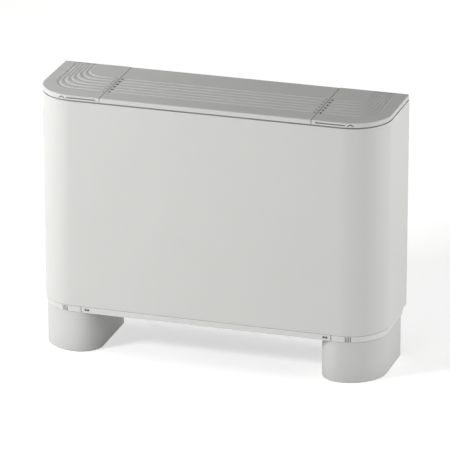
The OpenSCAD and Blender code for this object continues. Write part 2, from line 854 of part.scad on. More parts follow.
// Chassis side with a floor flange on which the unit stands on its feet
module chassis_side() {
    difference() {
        union() {
            box([bay_x, inner_y, floor_z], [side_x, back_y, frame_z0]);
            lift(floor_z, floor_z + plate_t) intersection() {
                plan(foot_inset, back_y);
                rect([bay_x, inner_y], [half_w, foot_rear]);
            }
        }
        box([passage_x, passage_y, floor_z - 1], [half_w - fold_w, foot_rear + 1, floor_z + plate_t + 1]);
        for (y = screw_ys) translate([screw_x, y, floor_z - 1])
            cylinder(h = plate_t + 2, r = screw_r + hole_fit);
        box([bay_x - 1, inner_y - 1, panel_z1 - sheet_t - slide_fit],
            [side_x + 1, front_y + fold_w + slide_fit, frame_z0 + 1]);
    }
}

// Left side, with holes for the two water pipes and the drain
module chassis_side_left() {
    color(galvanised) difference() {
        on_side(-1) chassis_side();
        for (i = [0, tube_n - 1])
            let (c = coil_point(tube_u(i), 0)) rod_x(-side_x - 1, -bay_x + 1, c[0], c[1], header_r + 1);
        rod_x(-side_x - 1, -bay_x + 1, pan_mid_y, drain_z, drain_r + 1);
    }
}

// Right side, with a cable hole into the electrical box
module chassis_side_right() {
    color(galvanised) difference() {
        chassis_side();
        rod_x(bay_x - 1, side_x + 1, 0, box_z + cable_rise, cable_r);
    }
}

// Plate that closes the coil space towards the cabinet
module inner_front() {
    color(galvanised) box([-side_x, baffle_y, deck_z], [side_x, inner_y, plate_z1]);
}

// Horizontal plate between the fans and the coil
module fan_deck() {
    color(galvanised) difference() {
        box([-bay_x + seat, inner_y + seat, deck_z], [bay_x - seat, back_y - seat, deck_z + plate_t]);
        for (s = [-1, 1]) on_side(s)
            box([scroll_x + scroll_t, fan_y + tongue_y + scroll_t, deck_z - 1],
                [scroll_x + scroll_w - scroll_t, fan_y + scroll_r1, deck_z + plate_t + 1]);
    }
}

module scroll_outer() {
    polygon(concat(
        [for (a = [tongue_a : 9 : 359]) scroll_point(a, scroll_t)],
        [[scroll_r1 + scroll_t, 0], [scroll_r1 + scroll_t, deck_rise], [tongue_y, deck_rise]]
    ));
}

module scroll_inner() {
    polygon(concat(
        [for (a = [scroll_a0 : 10 : 359]) scroll_point(a, 0)],
        [[scroll_r1, 0], [scroll_r1, deck_rise + 1], [scroll_point(scroll_a0, 0)[0], deck_rise + 1]]
    ));
}

// Blower housing: spiral casing open upwards, with a round inlet in each side
module blower_housing(side) {
    x0 = side > 0 ? scroll_x : -scroll_x - scroll_w;
    color(galvanised) translate([0, fan_y, fan_z]) {
        along_x(x0, x0 + scroll_w) difference() {
            scroll_outer();
            scroll_inner();
        }
        for (x = [x0, x0 + scroll_w - scroll_t]) along_x(x, x + scroll_t) difference() {
            scroll_outer();
            circle(inlet_r);
        }
    }
}

module blower_housing_left() {
    blower_housing(-1);
}

module blower_housing_right() {
    blower_housing(1);
}

module blade() {
    steps = 3;
    root = wheel_r - blade_d - 0.5;
    tip = wheel_r - 0.5;
    edge = [for (k = [0 : steps]) [root + (tip - root) * k / steps, blade_lead * pow(k / steps, 2)]];
    polygon(concat(
        [for (e = edge) e[0] * [cos(e[1]), sin(e[1])] + [0, -blade_t / 2]],
        [for (k = [steps : -1 : 0]) edge[k][0] * [cos(edge[k][1]), sin(edge[k][1])] + [0, blade_t / 2]]
    ));
}

// Double-inlet wheel with forward-curved blades
module impeller(side) {
    x0 = side * wheel_x - wheel_w / 2;
    xm = side * wheel_x;
    color(black) translate([0, fan_y, fan_z]) difference() {
        union() {
            along_x(x0, x0 + wheel_w) for (i = [0 : blade_n - 1]) rotate(360 * i / blade_n) blade();
            for (x = [x0, x0 + wheel_w - disc_t]) along_x(x, x + disc_t) difference() {
                circle(wheel_r);
                circle(wheel_r - blade_d * 0.6);
            }
            rod_x(xm - disc_t / 2, xm + disc_t / 2, 0, 0, wheel_r);
            rod_x(xm - hub_w / 2, xm + hub_w / 2, 0, 0, hub_r);
        }
        rod_x(xm - hub_w, xm + hub_w, 0, 0, shaft_r + press_fit);
    }
}

module impeller_left() {
    impeller(-1);
}

module impeller_right() {
    impeller(1);
}

// Shaft through the motor and both wheels
module fan_shaft() {
    color(steel) rod_x(-shaft_half, shaft_half, fan_y, fan_z, shaft_r);
}

// Motor casing with two bearing bosses
module motor_body() {
    x1 = motor_w / 2;
    color(grey) translate([0, fan_y, fan_z]) difference() {
        union() {
            rod_x(-x1, x1, 0, 0, motor_r);
            rod_x(-x1 - boss_w, x1 + boss_w, 0, 0, boss_r);
        }
        rod_x(-x1 - boss_w - 1, x1 + boss_w + 1, 0, 0, shaft_r + 2);
        for (s = [-1, 1]) on_side(s) rod_x(x1, x1 + boss_w + 1, 0, 0, bearing_r + press_fit);
        for (s = [-1, 1]) on_side(s) for (a = [0 : 45 : 315])
            rotate([a, 0, 0]) rod_x(x1 - motor_hole_d, x1 + 1, (motor_r + boss_r) / 2, 0, motor_hole_r);
    }
}

// Sleeve bearings in the motor's bosses
module motor_bearings() {
    x1 = motor_w / 2;
    color(brass) for (s = [-1, 1]) on_side(s) difference() {
        rod_x(x1 + seat, x1 + boss_w, fan_y, fan_z, bearing_r);
        rod_x(x1 - 1, x1 + boss_w + 1, fan_y, fan_z, shaft_r + run_fit);
    }
}

// Strap that hangs the motor from the deck
module motor_strap() {
    r = motor_r + seat;
    color(galvanised) translate([0, fan_y, fan_z]) along_x(-strap_w / 2, strap_w / 2) difference() {
        union() {
            circle(r + strap_t);
            for (s = [-1, 1]) translate([s * (r - 4) - strap_t / 2, 0]) square([strap_t, deck_rise]);
            rect([-r, deck_rise - strap_t], [r, deck_rise]);
        }
        circle(r);
    }
}

// Drain pan under the coil's lower edge, with a spigot out of the left side
module drain_pan() {
    x1 = bay_x - 2;
    y0 = inner_y + seat;
    color(black) difference() {
        union() {
            box([-x1, y0, pan_z], [x1, y0 + pan_d, pan_z + pan_h]);
            rod_x(-side_x - drain_reach, -x1 + 2, pan_mid_y, drain_z, drain_r);
        }
        box([-x1 + pan_t + 3, y0 + pan_t, pan_z + pan_t],
            [x1 - pan_t, y0 + pan_d - pan_t, pan_z + pan_h + 1]);
        rod_x(-side_x - drain_reach - 1, -x1 + pan_t + 4, pan_mid_y, drain_z, drain_bore);
    }
}

// Section of a fin or an end plate, with the tube holes
module fin_section(margin) {
    difference() {
        polygon([for (c = [[-1, -1], [1, -1], [1, 1], [-1, 1]])
            coil_point(c[0] * (coil_h / 2 + margin), c[1] * (coil_d / 2 + margin))]);
        for (row = [0, 1]) for (i = [0 : tube_n - 1])
            translate(tube_point(row, i)) circle(tube_r + hole_fit, $fn = 24);
    }
}

module coil_fins() {
    pitch = (coil_w - fin_t) / (fin_n - 1);
    color(aluminium) for (i = [0 : fin_n - 1]) let (x = -coil_w / 2 + i * pitch)
        along_x(x, x + fin_t) fin_section(0);
}

// End plates with two flanges each, screwed to the chassis sides
module coil_end_plates() {
    color(galvanised) for (s = [-1, 1]) on_side(s) {
        along_x(end_x, end_x + plate_t) fin_section(end_margin);
        for (v = [-1, 1]) along_x(end_x, bay_x - seat) polygon([
            coil_point(-coil_h / 2 + flange_end, v * (coil_d / 2 + end_margin)),
            coil_point(coil_h / 2 - flange_end, v * (coil_d / 2 + end_margin)),
            coil_point(coil_h / 2 - flange_end, v * (coil_d / 2 + end_margin - plate_t)),
            coil_point(-coil_h / 2 + flange_end, v * (coil_d / 2 + end_margin - plate_t))
        ]);
    }
}

module coil_tubes() {
    color(copper) for (row = [0, 1]) for (i = [0 : tube_n - 1])
        along_x(-bend_x, bend_x) translate(tube_point(row, i)) difference() {
            circle(tube_r, $fn = 24);
            circle(tube_r - tube_wall, $fn = 24);
        }
}

// Half-round bend that joins two neighbouring tubes of a row
module bend(row, i, side) {
    p = coil_point((tube_u(i) + tube_u(i + 1)) / 2, (row - 0.5) * row_pitch);
    translate([side * bend_x, p[0], p[1]]) rotate([-coil_lean, 0, 0]) rotate([90, 0, 0])
        rotate([0, 0, side > 0 ? -90 : 90])
        rotate_extrude(angle = 180) translate([tube_pitch / 2, 0]) circle(tube_r, $fn = 24);
}

module return_bends() {
    color(copper) for (row = [0, 1]) {
        for (i = [0 : 2 : tube_n - 2]) bend(row, i, 1);
        for (i = [1 : 2 : tube_n - 3]) bend(row, i, -1);
    }
}

// Header that joins both rows and leads to a threaded connection in the left bay
module header(i) {
    c = coil_point(tube_u(i), 0);
    end = -side_x - water_reach;
    difference() {
        union() {
            translate([-header_x, c[0], c[1]]) rotate([-coil_lean, 0, 0]) rotate([90, 0, 0])
                cylinder(h = row_pitch + 2 * tube_r, r = header_r, center = true);
            rod_x(end + water_len, -header_x, c[0], c[1], header_r);
            translate([end, c[0], c[1]]) rotate([0, 90, 0])
                cylinder(h = water_len + 5, r = water_nut_r, $fn = 6);
            for (row = [0, 1]) let (p = tube_point(row, i))
                rod_x(-header_x, -bend_x + 3, p[0], p[1], tube_r + cup_wall);
        }
        rod_x(end - 1, end + water_len, c[0], c[1], water_r);
        for (row = [0, 1]) let (p = tube_point(row, i))
            rod_x(-bend_x - 0.2, -bend_x + 4, p[0], p[1], tube_r + 0.06);
    }
}

module inlet_header() {
    color(brass) header(0);
}

module outlet_header() {
    color(brass) header(tube_n - 1);
}

// Air vent valve on the outlet pipe
module air_vent() {
    c = coil_point(tube_u(tube_n - 1), 0);
    x = -side_x - vent_out;
    color(brass) difference() {
        translate([x, c[0], c[1]]) {
            cylinder(h = header_r + 9, r = vent_r);
            translate([0, 0, header_r + 3]) cylinder(h = 5, r = vent_r + 2, $fn = 6);
        }
        rod_x(x - 20, x + 20, c[0], c[1], header_r + 0.05);
        translate([x - 0.6, c[0] - 10, c[1] + header_r + 7.5]) cube([1.2, 20, 5]);
    }
}

// Electrical box on the right chassis side, open towards the cabinet's end
module electrical_box() {
    x0 = side_x + seat;
    color(galvanised) difference() {
        box([x0, -box_d / 2, box_z], [x0 + box_w, box_d / 2, box_z + box_h]);
        box([x0 + box_t, -box_d / 2 + box_t, box_z + box_t],
            [x0 + box_w + 1, box_d / 2 - box_t, box_z + box_h - box_t]);
        rod_x(x0 - 1, x0 + box_t + 1, 0, box_z + cable_rise, cable_r);
        for (y = [-box_d / 4, box_d / 4]) translate([x0 + box_w / 2, y, box_z - 1])
            cylinder(h = box_t + 2, r = gland_neck + 0.2);
    }
}

// Cover of the electrical box
module electrical_cover() {
    x0 = side_x + seat + box_w;
    color(galvanised) difference() {
        box([x0, -box_d / 2, box_z], [x0 + plate_t, box_d / 2, box_z + box_h]);
        for (z = [box_z + 10, box_z + box_h - 10]) rod_x(x0 - 1, x0 + plate_t + 1, 0, z, screw_r + hole_fit);
    }
}

module cover_screws() {
    x0 = side_x + seat + box_w + plate_t;
    color(steel) for (z = [box_z + 10, box_z + box_h - 10]) {
        rod_x(x0, x0 + screw_head_h, 0, z, screw_head_r);
        rod_x(x0 - 5, x0 + screw_head_h / 2, 0, z, screw_r);
    }
}

// Row of terminals inside the electrical box
module terminal_block() {
    x0 = side_x + seat + box_t;
    y1 = box_d / 2 - terminal_inset;
    z0 = box_z + terminal_z;
    pitch = 2 * y1 / terminal_n;
    color(painted) difference() {
        box([x0, -y1, z0], [x0 + terminal_d, y1, z0 + terminal_h]);
        for (k = [0 : terminal_n - 1])
            rod_x(x0 + terminal_d / 2, x0 + terminal_d + 1,
                -y1 + (k + 0.5) * pitch, z0 + terminal_h / 2, terminal_r);
    }
}

// Run capacitor inside the electrical box
module run_capacitor() {
    color(aluminium) translate([side_x + seat + box_t + can_r + seat, -can_len / 2, box_z + box_h - can_drop])
        rotate([-90, 0, 0]) {
            cylinder(h = can_len, r = can_r);
            translate([0, 0, can_len]) cylinder(h = can_cap, r = can_r * 0.65);
        }
}

// Glands in the floor of the electrical box, for the supply and the wall control
module cable_glands() {
    x = side_x + seat + box_w / 2;
    color(black) for (y = [-box_d / 4, box_d / 4]) translate([x, y, box_z]) difference() {
        union() {
            translate([0, 0, -gland_h]) cylinder(h = gland_h, r = gland_r, $fn = 6);
            translate([0, 0, -1]) cylinder(h = box_t + gland_len, r = gland_neck);
        }
        translate([0, 0, -gland_h - 1]) cylinder(h = gland_h + box_t + gland_len + 2, r = gland_bore);
    }
}

// Section of the tapered strip, measured inwards from the panel's face
module strip_section(t) {
    polygon([
        [strip_back, trim_top], [strip_taper, strip_z],
        [strip_taper + t, strip_z], [t + strip_back, trim_top]
    ]);
}

// Front strip of the filter tray
module filter_strip() {
    color(painted) translate([0, front_y, 0]) along_x(-tray_x, tray_x) strip_section(strip_t - strip_taper);
}

// Sliding filter frame with stays
module filter_frame() {
    x1 = tray_x - 2;
    y0 = tray_y0 - 1 - 0.6;
    color(grey) {
        difference() {
            box([-x1, y0, tray_z0], [x1, tray_y1, tray_z0 + filter_h]);
            box([-x1 + filter_bar, tray_y0 + filter_bar, tray_z0 - 1],
                [x1 - filter_bar, tray_y1 - filter_bar, tray_z0 + filter_h + 1]);
            translate([0, front_y, 0]) along_x(-x1 - 1, x1 + 1)
                polygon([[-5, trim_top + 5], [strip_t - strip_taper + 0.4, trim_top],
                    [strip_t + 0.1, strip_z], [strip_t + 0.1, base_z - 5], [-5, base_z - 5]]);
        }
        for (i = [1 : stay_n]) translate([-x1 + i * 2 * x1 / (stay_n + 1) - stay_w / 2, 0, 0])
            box([0, tray_y0 + filter_bar / 2, tray_z0 + 0.5],
                [stay_w, tray_y1 - filter_bar / 2, tray_z0 + mat_rise]);
    }
}

// Filter mat held inside the frame
module filter_mat() {
    x1 = tray_x - 2 - filter_bar - seat;
    color(mat) box([-x1, tray_y0 + filter_bar + seat, tray_z0 + mat_rise + seat],
        [x1, tray_y1 - filter_bar - seat, tray_z0 + mat_rise + seat + mat_t]);
}

// Rail beside the tray, standing on the foot and carrying the chassis
module filter_rail() {
    color(galvanised) difference() {
        along_y(rail_y0, foot_rear - 4) {
            rect([rail_x - rail_w, base_z], [rail_x + rail_out, base_z + rail_t]);
            rect([rail_x - rail_w, floor_z - rail_t], [rail_x + rail_out, floor_z]);
            rect([rail_x, base_z], [rail_x + rail_t, floor_z]);
        }
        for (y = screw_ys) translate([screw_x, y, base_z - 1])
            cylinder(h = strip_h + 4, r = screw_r + hole_fit);
    }
}

module filter_rail_left() {
    on_side(-1) filter_rail();
}

module filter_rail_right() {
    filter_rail();
}

// Tapered corner trim beside the tray, with a block of vertical slits
module corner_trim() {
    color(painted) difference() {
        union() {
            translate([0, front_y, 0]) along_x(trim_x, corner_x) strip_section(trim_t);
            translate([corner_x, corner_y, 0]) rotate([0, 0, -90]) rotate_extrude(angle = 90)
                translate([corner_r, 0]) mirror([1, 0]) strip_section(trim_t);
            translate([half_w, 0, 0]) along_y(corner_y, foot_rear + 4) mirror([1, 0]) strip_section(trim_t);
        }
        for (k = [0 : slit_n - 1])
            translate([corner_x, corner_y, 0]) rotate([0, 0, slit_start + k * slit_step])
                box([-slit_w / 2, -corner_r - 1, strip_z + slit_rim],
                    [slit_w / 2, strip_taper + trim_t + 1 - corner_r, trim_top - slit_rim]);
    }
}

module trim_left() {
    on_side(-1) corner_trim();
}

module trim_right() {
    corner_trim();
}

// Plan of a foot: it follows the cabinet's corner outside and turns a smaller one inside
module foot_plan(inset, rear) {
    intersection() {
        plan(foot_inset + inset, rear);
        rect([corner_x, front_y], [half_w, rear]);
    }
    intersection() {
        translate([corner_x, foot_front + foot_r]) circle(foot_r - inset);
        rect([corner_x - foot_r, front_y], [corner_x, foot_front + foot_r]);
    }
    rect([corner_x - foot_r + inset, foot_front + foot_r], [corner_x, rear]);
}

// Foot: a rounded shell open at the rear, with a pipe passage in its top
module foot() {
    color(painted) difference() {
        lift(0, base_z) foot_plan(0, foot_rear);
        lift(-1, base_z - foot_wall) foot_plan(foot_wall, foot_rear + 1);
        box([passage_x, passage_y, base_z - foot_wall - 1],
            [half_w - foot_inset - foot_wall, foot_rear + 1, base_z + 1]);
        for (y = screw_ys) translate([screw_x, y, base_z - foot_wall - 1])
            cylinder(h = foot_wall + 2, r = screw_r + hole_fit);
    }
}

module foot_left() {
    on_side(-1) foot();
}

module foot_right() {
    foot();
}

// Screws from inside the feet, up through rail and chassis
module foot_screws() {
    color(steel) for (s = [-1, 1]) on_side(s) for (y = screw_ys) translate([screw_x, y, 0]) {
        lift(base_z - foot_wall - screw_head_h, base_z - foot_wall) circle(screw_head_r);
        lift(base_z - foot_wall - screw_head_h / 2, floor_z + plate_t + 4) circle(screw_r);
    }
}

front_panel();
head_screws();
lid_left();
lid_right();
lid_hinge_pins();
deflector_flap();
flap_pivots();
head_frame();
outlet_grille();
control_panel();
temperature_knob();
speed_knob();
chassis_back();
chassis_side_left();
chassis_side_right();
inner_front();
fan_deck();
blower_housing_left();
blower_housing_right();
impeller_left();
impeller_right();
fan_shaft();
motor_body();
motor_bearings();
motor_strap();
drain_pan();
coil_fins();
coil_end_plates();
coil_tubes();
return_bends();
inlet_header();
outlet_header();
air_vent();
electrical_box();
electrical_cover();
cover_screws();
terminal_block();
run_capacitor();
cable_glands();
filter_strip();
filter_frame();
filter_mat();
filter_rail_left();
filter_rail_right();
trim_left();
trim_right();
foot_left();
foot_right();
foot_screws();
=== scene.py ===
import json
import math

import bmesh
import bpy
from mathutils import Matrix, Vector


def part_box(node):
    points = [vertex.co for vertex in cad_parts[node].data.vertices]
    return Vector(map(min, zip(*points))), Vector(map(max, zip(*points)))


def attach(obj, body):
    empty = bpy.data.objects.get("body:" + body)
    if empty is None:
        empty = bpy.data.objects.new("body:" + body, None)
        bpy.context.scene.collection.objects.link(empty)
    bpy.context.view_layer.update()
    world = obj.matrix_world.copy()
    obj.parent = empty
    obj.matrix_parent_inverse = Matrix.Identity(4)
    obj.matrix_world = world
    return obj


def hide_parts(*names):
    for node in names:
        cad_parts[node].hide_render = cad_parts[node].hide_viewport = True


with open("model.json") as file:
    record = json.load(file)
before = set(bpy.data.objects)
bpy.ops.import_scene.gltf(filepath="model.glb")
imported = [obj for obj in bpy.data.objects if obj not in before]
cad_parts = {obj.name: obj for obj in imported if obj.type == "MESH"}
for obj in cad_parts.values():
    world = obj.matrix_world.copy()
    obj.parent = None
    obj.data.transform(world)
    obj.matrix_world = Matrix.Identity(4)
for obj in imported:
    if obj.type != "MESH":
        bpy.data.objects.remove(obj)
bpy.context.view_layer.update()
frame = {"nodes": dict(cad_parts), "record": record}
nodes = frame["nodes"]
mm = 0.001
print("frame loaded:", len(nodes), "nodes")


# A socket of a shader tree that sums can be written with
class Wire:
    def __init__(self, finish, socket):
        self.finish = finish
        self.socket = socket

    def sum(self, operation, first, second):
        return self.finish.add("ShaderNodeMath", {"operation": operation}, {0: first, 1: second})

    def __add__(self, other):
        return self.sum("ADD", self, other)

    def __radd__(self, other):
        return self.sum("ADD", other, self)

    def __sub__(self, other):
        return self.sum("SUBTRACT", self, other)

    def __rsub__(self, other):
        return self.sum("SUBTRACT", other, self)

    def __mul__(self, other):
        return self.sum("MULTIPLY", self, other)

    def __rmul__(self, other):
        return self.sum("MULTIPLY", other, self)

    def __gt__(self, other):
        return self.sum("GREATER_THAN", self, other)

    def __lt__(self, other):
        return self.sum("LESS_THAN", self, other)


socketNames = {
    "colour": "Base Color",
    "roughness": "Roughness",
    "metallic": "Metallic",
    "normal": "Normal",
    "specular": "Specular IOR Level",
    "glow": "Emission Color",
    "glowStrength": "Emission Strength",
}


# One material: constants go on the shader's sockets, what varies is wired in
class Finish:
    def __init__(self, name, **constants):
        self.material = bpy.data.materials.new(name)
        self.material.use_nodes = True
        self.tree = self.material.node_tree
        self.shader = self.tree.nodes["Principled BSDF"]
        for label, value in constants.items():
            self.shader.inputs[socketNames[label]].default_value = value
        self.place = self.add("ShaderNodeTexCoord", {}, {}, "Object")

    def add(self, kind, settings, sockets, output=0):
        node = self.tree.nodes.new(kind)
        for label, value in settings.items():
            setattr(node, label, value)
        for label, value in sockets.items():
            self.plug(node.inputs[label], value)
        return Wire(self, node.outputs[output])

    def plug(self, socket, value):
        if isinstance(value, Wire):
            self.tree.links.new(value.socket, socket)
        else:
            socket.default_value = value

    def wire(self, label, value):
        self.plug(self.shader.inputs[socketNames[label]], value)

    def noise(self, size, detail, rough=0.5, place=None):
        sockets = {"Vector": place or self.place, "Scale": 1 / size, "Detail": detail, "Roughness": rough}
        return self.add("ShaderNodeTexNoise", {}, sockets, "Fac")

    def vector(self, operation, first, second):
        return self.add("ShaderNodeVectorMath", {"operation": operation}, {0: first, 1: second}, "Vector")

    # Mix of two colours, numbered as the node numbers its colour sockets
    def mix(self, share, first, second):
        return self.add("ShaderNodeMix", {"data_type": "RGBA"}, {0: share, 6: first, 7: second}, 2)

    def blend(self, share, dark, light):
        return self.mix(share, (*dark, 1), (*light, 1))

    def ramp(self, value, low, high):
        return self.add("ShaderNodeMapRange", {}, {"Value": value, "From Min": low, "From Max": high})

    # 0 where little sky is seen within reach of a point, as deep in a seam, and 1 in the open
    def openness(self, reach, shut, clear):
        sky = self.add("ShaderNodeAmbientOcclusion", {"samples": 12}, {"Distance": reach}, "AO")
        return self.ramp(sky, shut, clear)

    def relief(self, height, depth, strength):
        sockets = {"Height": height, "Distance": depth, "Strength": strength}
        self.wire("normal", self.add("ShaderNodeBump", {}, sockets, "Normal"))


def shade(tint, share):
    return tuple(part * share for part in tint)


# Painted shade: the tint darkens in seams and flutes, or under the whole cabinet, where a point sees little
# open sky
finePaintedShade = {"reach": 5 * mm, "shut": 0.3, "clear": 0.8}
broadPaintedShade = {"reach": 200 * mm, "shut": 0.2, "clear": 0.52}

# Light grey coatings and mouldings, with painted shade in their hollows: the last share is the part of the
# tint left where that shade is deepest
lightGreys = {
    "painted_sheet": {
        "tint": (0.636, 0.636, 0.622), "grain": 1.1 * mm, "depth": 0.02 * mm, "gloss": 0.40,
        "shadeSpread": finePaintedShade, "shadeShare": 0.80,
    },
    "base_trim": {
        "tint": (0.645, 0.645, 0.633), "grain": 0.5 * mm, "depth": 0.02 * mm, "gloss": 0.50,
        "shadeSpread": finePaintedShade, "shadeShare": 0.45,
    },
    "foot_shell": {
        "tint": (0.602, 0.602, 0.590), "grain": 0.6 * mm, "depth": 0.03 * mm, "gloss": 0.50,
        "shadeSpread": broadPaintedShade, "shadeShare": 0.26,
    },
    "head_plastic": {
        "tint": (0.632, 0.632, 0.620), "grain": 0.5 * mm, "depth": 0.04 * mm, "gloss": 0.52,
        "shadeSpread": finePaintedShade, "shadeShare": 0.35,
    },
    "frame_plastic": {
        "tint": (0.600, 0.600, 0.590), "grain": 0.5 * mm, "depth": 0.04 * mm, "gloss": 0.55,
        "shadeSpread": finePaintedShade, "shadeShare": 0.80,
    },
    "panel_plastic": {
        "tint": (0.430, 0.430, 0.425), "grain": 0.4 * mm, "depth": 0.05 * mm, "gloss": 0.55,
        "shadeSpread": finePaintedShade, "shadeShare": 0.50,
    },
    "terminal_plastic": {
        "tint": (0.640, 0.620, 0.540), "grain": 0.6 * mm, "depth": 0.02 * mm, "gloss": 0.40,
        "shadeSpread": finePaintedShade, "shadeShare": 0.50,
    },
}
greyCoat = {
    "shine": 0.45,
    "cloud": 180 * mm,
    "cloudShare": 0.7,
    "grainShare": 0.3,
    "darkest": 0.965,
    "lightest": 1.035,
    "glossLoss": 0.06,
    "glossByCloud": 0.08,
    "glossByGrain": 0.05,
    "bumps": 0.5,
}


def makeLightGrey(name, look, coat):
    finish = Finish(name, specular=coat["shine"])
    cloud = finish.noise(coat["cloud"], 3)
    grain = finish.noise(look["grain"], 2)
    tone = cloud * coat["cloudShare"] + grain * coat["grainShare"]
    clean = finish.blend(tone, shade(look["tint"], coat["darkest"]), shade(look["tint"], coat["lightest"]))
    paintedShadeTint = (*shade(look["tint"], look["shadeShare"]), 1)
    # Painted shade: the clean tint gives way to a darker one where little open sky is seen within reach
    finish.wire("colour", finish.mix(finish.openness(**look["shadeSpread"]), paintedShadeTint, clean))
    gloss = look["gloss"] - coat["glossLoss"]
    finish.wire("roughness", gloss + cloud * coat["glossByCloud"] + grain * coat["glossByGrain"])
    finish.relief(grain, look["depth"], coat["bumps"])
    return finish.material


# Dark mouldings and enamels, with a few paler flecks
darkPlastics = {
    "knob_plastic": {"tint": (0.075, 0.078, 0.085), "grain": 0.5 * mm, "depth": 0.05 * mm, "gloss": 0.45},
    "black_plastic": {"tint": (0.018, 0.018, 0.020), "grain": 0.7 * mm, "depth": 0.05 * mm, "gloss": 0.50},
    "wheel_plastic": {"tint": (0.022, 0.022, 0.024), "grain": 0.4 * mm, "depth": 0.04 * mm, "gloss": 0.55},
    "motor_casing": {"tint": (0.090, 0.098, 0.112), "grain": 1.4 * mm, "depth": 0.06 * mm, "gloss": 0.38},
    "filter_plastic": {"tint": (0.050, 0.053, 0.060), "grain": 0.6 * mm, "depth": 0.05 * mm, "gloss": 0.50},
}
darkCoat = {
    "shine": 0.45,
    "cloud": 30 * mm,
    "cloudShare": 0.6,
    "fleckSize": 0.6,
    "fleckFrom": 0.72,
    "fleckShare": 0.25,
    "darkest": 0.8,
    "lightest": 1.5,
    "glossLoss": 0.05,
    "glossByGrain": 0.12,
    "bumps": 0.6,
}


def makeDarkPlastic(name, look, coat):
    finish = Finish(name, specular=coat["shine"])
    cloud = finish.noise(coat["cloud"], 3)
    grain = finish.noise(look["grain"], 2)
    fleck = finish.noise(look["grain"] * coat["fleckSize"], 1) > coat["fleckFrom"]
    tone = cloud * coat["cloudShare"] + fleck * coat["fleckShare"]
    dark, light = shade(look["tint"], coat["darkest"]), shade(look["tint"], coat["lightest"])
    finish.wire("colour", finish.blend(tone, dark, light))
    finish.wire("roughness", look["gloss"] - coat["glossLoss"] + grain * coat["glossByGrain"])
    finish.relief(grain, look["depth"], coat["bumps"])
    return finish.material


# Bare metals: clouding by age, and lines left by drawing or turning, packed along each axis
bareMetals = {
    "fin_aluminium": {
        "tint": (0.78, 0.80, 0.82), "dull": (0.60, 0.62, 0.64), "lines": (1, 1, 60), "gloss": 0.34,
    },
    "copper_tube": {
        "tint": (0.80, 0.42, 0.25), "dull": (0.52, 0.24, 0.14), "lines": (1, 30, 30), "gloss": 0.30,
    },
    "brass_fitting": {
        "tint": (0.82, 0.62, 0.28), "dull": (0.62, 0.45, 0.20), "lines": (60, 1, 1), "gloss": 0.28,
    },
    "bright_steel": {
        "tint": (0.68, 0.69, 0.70), "dull": (0.52, 0.53, 0.55), "lines": (20, 20, 1), "gloss": 0.30,
    },
    "capacitor_can": {
        "tint": (0.74, 0.75, 0.77), "dull": (0.60, 0.61, 0.63), "lines": (1, 40, 1), "gloss": 0.32,
    },
}
metalWear = {
    "cloud": 20 * mm,
    "line": 6 * mm,
    "rough": 0.6,
    "cloudShare": 0.75,
    "lineShare": 0.25,
    "glossByCloud": 0.14,
    "glossByLine": 0.06,
    "depth": 0.02 * mm,
    "bumps": 0.4,
}


def makeBareMetal(name, look, wear):
    finish = Finish(name, metallic=1.0)
    cloud = finish.noise(wear["cloud"], 4, wear["rough"])
    packed = finish.vector("MULTIPLY", finish.place, look["lines"])
    lines = finish.noise(wear["line"], 3, wear["rough"], packed)
    tone = cloud * wear["cloudShare"] + lines * wear["lineShare"]
    finish.wire("colour", finish.blend(tone, look["dull"], look["tint"]))
    finish.wire("roughness", look["gloss"] + cloud * wear["glossByCloud"] - lines * wear["glossByLine"])
    finish.relief(lines, wear["depth"], wear["bumps"])
    return finish.material


# Zinc crystals with wavy borders, and fine frost over them
galvanisedSheet = {
    "metallic": 0.92,
    "crystal": 11 * mm,
    "waves": 60.0,
    "waveHeight": 6 * mm,
    "frost": 0.9 * mm,
    "crystalShare": 0.75,
    "frostShare": 0.25,
    "pale": (0.66, 0.69, 0.72),
    "dark": (0.46, 0.49, 0.52),
    "gloss": 0.36,
    "spread": 0.20,
    "depth": 0.03 * mm,
    "bumps": 0.35,
}


def makeGalvanised(name, look):
    finish = Finish(name, metallic=look["metallic"])
    waves = {"Vector": finish.place, "Scale": look["waves"], "Detail": 2.0}
    bend = finish.add("ShaderNodeTexNoise", {}, waves, "Color")
    scaled = {0: bend, "Scale": look["waveHeight"]}
    nudge = finish.add("ShaderNodeVectorMath", {"operation": "SCALE"}, scaled, "Vector")
    cells = {"Vector": finish.vector("ADD", finish.place, nudge), "Scale": 1 / look["crystal"]}
    tint = finish.add("ShaderNodeTexVoronoi", {}, cells, "Color")
    crystal = finish.add("ShaderNodeSeparateColor", {}, {"Color": tint}, "Red")
    frost = finish.noise(look["frost"], 3)
    tone = crystal * look["crystalShare"] + frost * look["frostShare"]
    finish.wire("colour", finish.blend(tone, look["dark"], look["pale"]))
    finish.wire("roughness", look["gloss"] + crystal * look["spread"])
    finish.relief(tone, look["depth"], look["bumps"])
    return finish.material


finishes = {}
for slotName, look in lightGreys.items():
    finishes[slotName] = makeLightGrey(slotName, look, greyCoat)
for slotName, look in darkPlastics.items():
    finishes[slotName] = makeDarkPlastic(slotName, look, darkCoat)
for slotName, look in bareMetals.items():
    finishes[slotName] = makeBareMetal(slotName, look, metalWear)
finishes["galvanised"] = makeGalvanised("galvanised", galvanisedSheet)
finishes["filter_fabric"] = makeDarkPlastic("filter_fabric", darkPlastics["filter_plastic"], darkCoat)
for part in frame["record"]["subparts"]:
    for slot in nodes[part["node"]].material_slots:
        slot.material = finishes[part["material_slot"]]
print("finishes made:", len(finishes))


# Small rounding of the moulded and folded edges, and even normals over the flats
softEdges = {
    "front_panel": 0.45 * mm,
    "lid_left": 0.35 * mm,
    "lid_right": 0.35 * mm,
    "deflector_flap": 0.35 * mm,
    "trim_left": 0.25 * mm,
    "trim_right": 0.25 * mm,
    "foot_left": 0.8 * mm,
    "foot_right": 0.8 * mm,
}
edgeRounding = {"join": 0.02 * mm, "segments": 2, "sharperThan": math.radians(28)}


